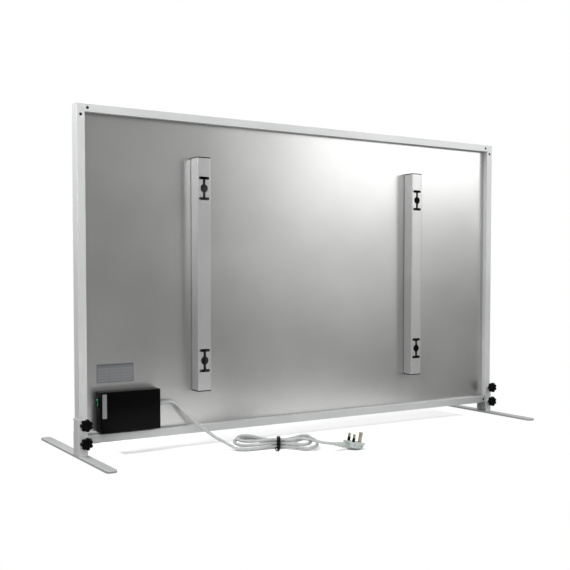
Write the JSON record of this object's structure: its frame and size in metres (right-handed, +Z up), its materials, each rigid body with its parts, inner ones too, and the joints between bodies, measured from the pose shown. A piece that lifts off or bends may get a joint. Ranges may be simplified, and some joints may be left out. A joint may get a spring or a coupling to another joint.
{
  "type": "infrared panel heater",
  "caption": "Flat infrared panel heater in a mitred metal frame, on clamp-on bar feet with star knobs, with rear mounting channels, a control box and a tied mains cord with plug.",
  "frame": {"origin": "on the floor, midway between the two feet and midway along their bars", "axes": "+Z up, +X along the panel's width towards the end with the control box, +Y out of the panel's back, so the radiant face looks along -Y"},
  "size_m": [1.2081, 0.5098, 0.75],
  "materials": {
    "frame": "satin anodised extrusion",
    "key_metal": "die cast, as cast",
    "screw_steel": "zinc plated",
    "back_sheet": "satin coated sheet",
    "insulation": "pressed mineral wool",
    "film": "laminated carbon film",
    "front_sheet": "white powder coat",
    "channel": "satin coated sheet",
    "black_plastic": "fine moulded texture",
    "white_plastic": "moulded",
    "ceramic": "glazed ceramic body with metal cup",
    "green_rocker": "translucent green",
    "foot_steel": "satin zinc plated flat steel",
    "cord_white": "matte white sheath",
    "plug_white": "soft moulded vinyl",
    "pin_brass": "nickelled brass"
  },
  "bodies": {
    "panel": {"frame_rail_bottom": "frame", "frame_rail_top": "frame", "frame_rail_left": "frame", "frame_rail_right": "frame", "corner_key_bottom_left": "key_metal", "corner_screw_bottom_left_1": "screw_steel", "corner_screw_bottom_left_2": "screw_steel", "corner_key_top_left": "key_metal", "corner_screw_top_left_1": "screw_steel", "corner_screw_top_left_2": "screw_steel", "corner_key_top_right": "key_metal", "corner_screw_top_right_1": "screw_steel", "corner_screw_top_right_2": "screw_steel", "corner_key_bottom_right": "key_metal", "corner_screw_bottom_right_1": "screw_steel", "corner_screw_bottom_right_2": "screw_steel", "back_plate": "back_sheet", "insulation_board": "insulation", "heating_film": "film", "front_plate": "front_sheet", "mounting_channel_left": "channel", "channel_cap_left_bottom": "black_plastic", "channel_cap_left_top": "black_plastic", "mounting_channel_right": "channel", "channel_cap_right_bottom": "black_plastic", "channel_cap_right_top": "black_plastic", "box_base": "black_plastic", "box_cover": "black_plastic", "box_screw_1": "screw_steel", "box_screw_2": "screw_steel", "terminal_block": "white_plastic", "thermal_cutout": "ceramic", "switch_housing": "black_plastic", "gland_body": "black_plastic", "cord_strain_relief": "cord_white", "cord_run": "cord_white", "cord_hank": "cord_white", "cord_tail": "cord_white", "cable_tie": "black_plastic", "plug_body": "plug_white", "pin_earth": "pin_brass", "pin_line": "pin_brass", "pin_neutral": "pin_brass", "fuse_carrier": "plug_white"},
    "rocker": {"switch_rocker": "green_rocker"},
    "foot_left": {"foot_bar_left": "foot_steel", "foot_clamp_left": "foot_steel"},
    "stud_left_lower": {"clamp_stud_left_lower": "screw_steel"},
    "knob_left_lower": {"clamp_knob_left_lower": "black_plastic"},
    "stud_left_upper": {"clamp_stud_left_upper": "screw_steel"},
    "knob_left_upper": {"clamp_knob_left_upper": "black_plastic"},
    "foot_right": {"foot_bar_right": "foot_steel", "foot_clamp_right": "foot_steel"},
    "stud_right_lower": {"clamp_stud_right_lower": "screw_steel"},
    "knob_right_lower": {"clamp_knob_right_lower": "black_plastic"},
    "stud_right_upper": {"clamp_stud_right_upper": "screw_steel"},
    "knob_right_upper": {"clamp_knob_right_upper": "black_plastic"}
  },
  "joints": [
    {"name": "rocker_tip", "type": "hinge", "parent": "panel", "child": "rocker", "pos_m": [0.5565, 0.0465, 0.117], "axis": [0, 1, 0], "range_deg": [-20, 0]},
    {"name": "foot_left_height", "type": "slide", "parent": "panel", "child": "foot_left", "axis": [0, 0, 1], "range_m": [-0.001, 0.024]},
    {"name": "stud_left_lower_travel", "type": "slide", "parent": "foot_left", "child": "stud_left_lower", "axis": [0, 1, 0], "range_m": [0, 0.0041]},
    {"name": "knob_left_lower_turn", "type": "hinge", "parent": "stud_left_lower", "child": "knob_left_lower", "pos_m": [-0.591, 0.06, 0.034], "axis": [0, 1, 0], "range_deg": [0, 1476]},
    {"name": "stud_left_upper_travel", "type": "slide", "parent": "foot_left", "child": "stud_left_upper", "axis": [0, 1, 0], "range_m": [0, 0.0041]},
    {"name": "knob_left_upper_turn", "type": "hinge", "parent": "stud_left_upper", "child": "knob_left_upper", "pos_m": [-0.591, 0.06, 0.073], "axis": [0, 1, 0], "range_deg": [0, 1476]},
    {"name": "foot_right_height", "type": "slide", "parent": "panel", "child": "foot_right", "axis": [0, 0, 1], "range_m": [-0.001, 0.024]},
    {"name": "stud_right_lower_travel", "type": "slide", "parent": "foot_right", "child": "stud_right_lower", "axis": [0, 1, 0], "range_m": [0, 0.0041]},
    {"name": "knob_right_lower_turn", "type": "hinge", "parent": "stud_right_lower", "child": "knob_right_lower", "pos_m": [0.591, 0.06, 0.034], "axis": [0, 1, 0], "range_deg": [0, 1476]},
    {"name": "stud_right_upper_travel", "type": "slide", "parent": "foot_right", "child": "stud_right_upper", "axis": [0, 1, 0], "range_m": [0, 0.0041]},
    {"name": "knob_right_upper_turn", "type": "hinge", "parent": "stud_right_upper", "child": "knob_right_upper", "pos_m": [0.591, 0.06, 0.073], "axis": [0, 1, 0], "range_deg": [0, 1476]}
  ],
  "couplings": [
    {"joint": "knob_left_lower_turn", "follows": "stud_left_lower_travel", "rad_per_m": 6283.2},
    {"joint": "knob_left_upper_turn", "follows": "stud_left_upper_travel", "rad_per_m": 6283.2},
    {"joint": "knob_right_lower_turn", "follows": "stud_right_lower_travel", "rad_per_m": 6283.2},
    {"joint": "knob_right_upper_turn", "follows": "stud_right_upper_travel", "rad_per_m": 6283.2}
  ]
}
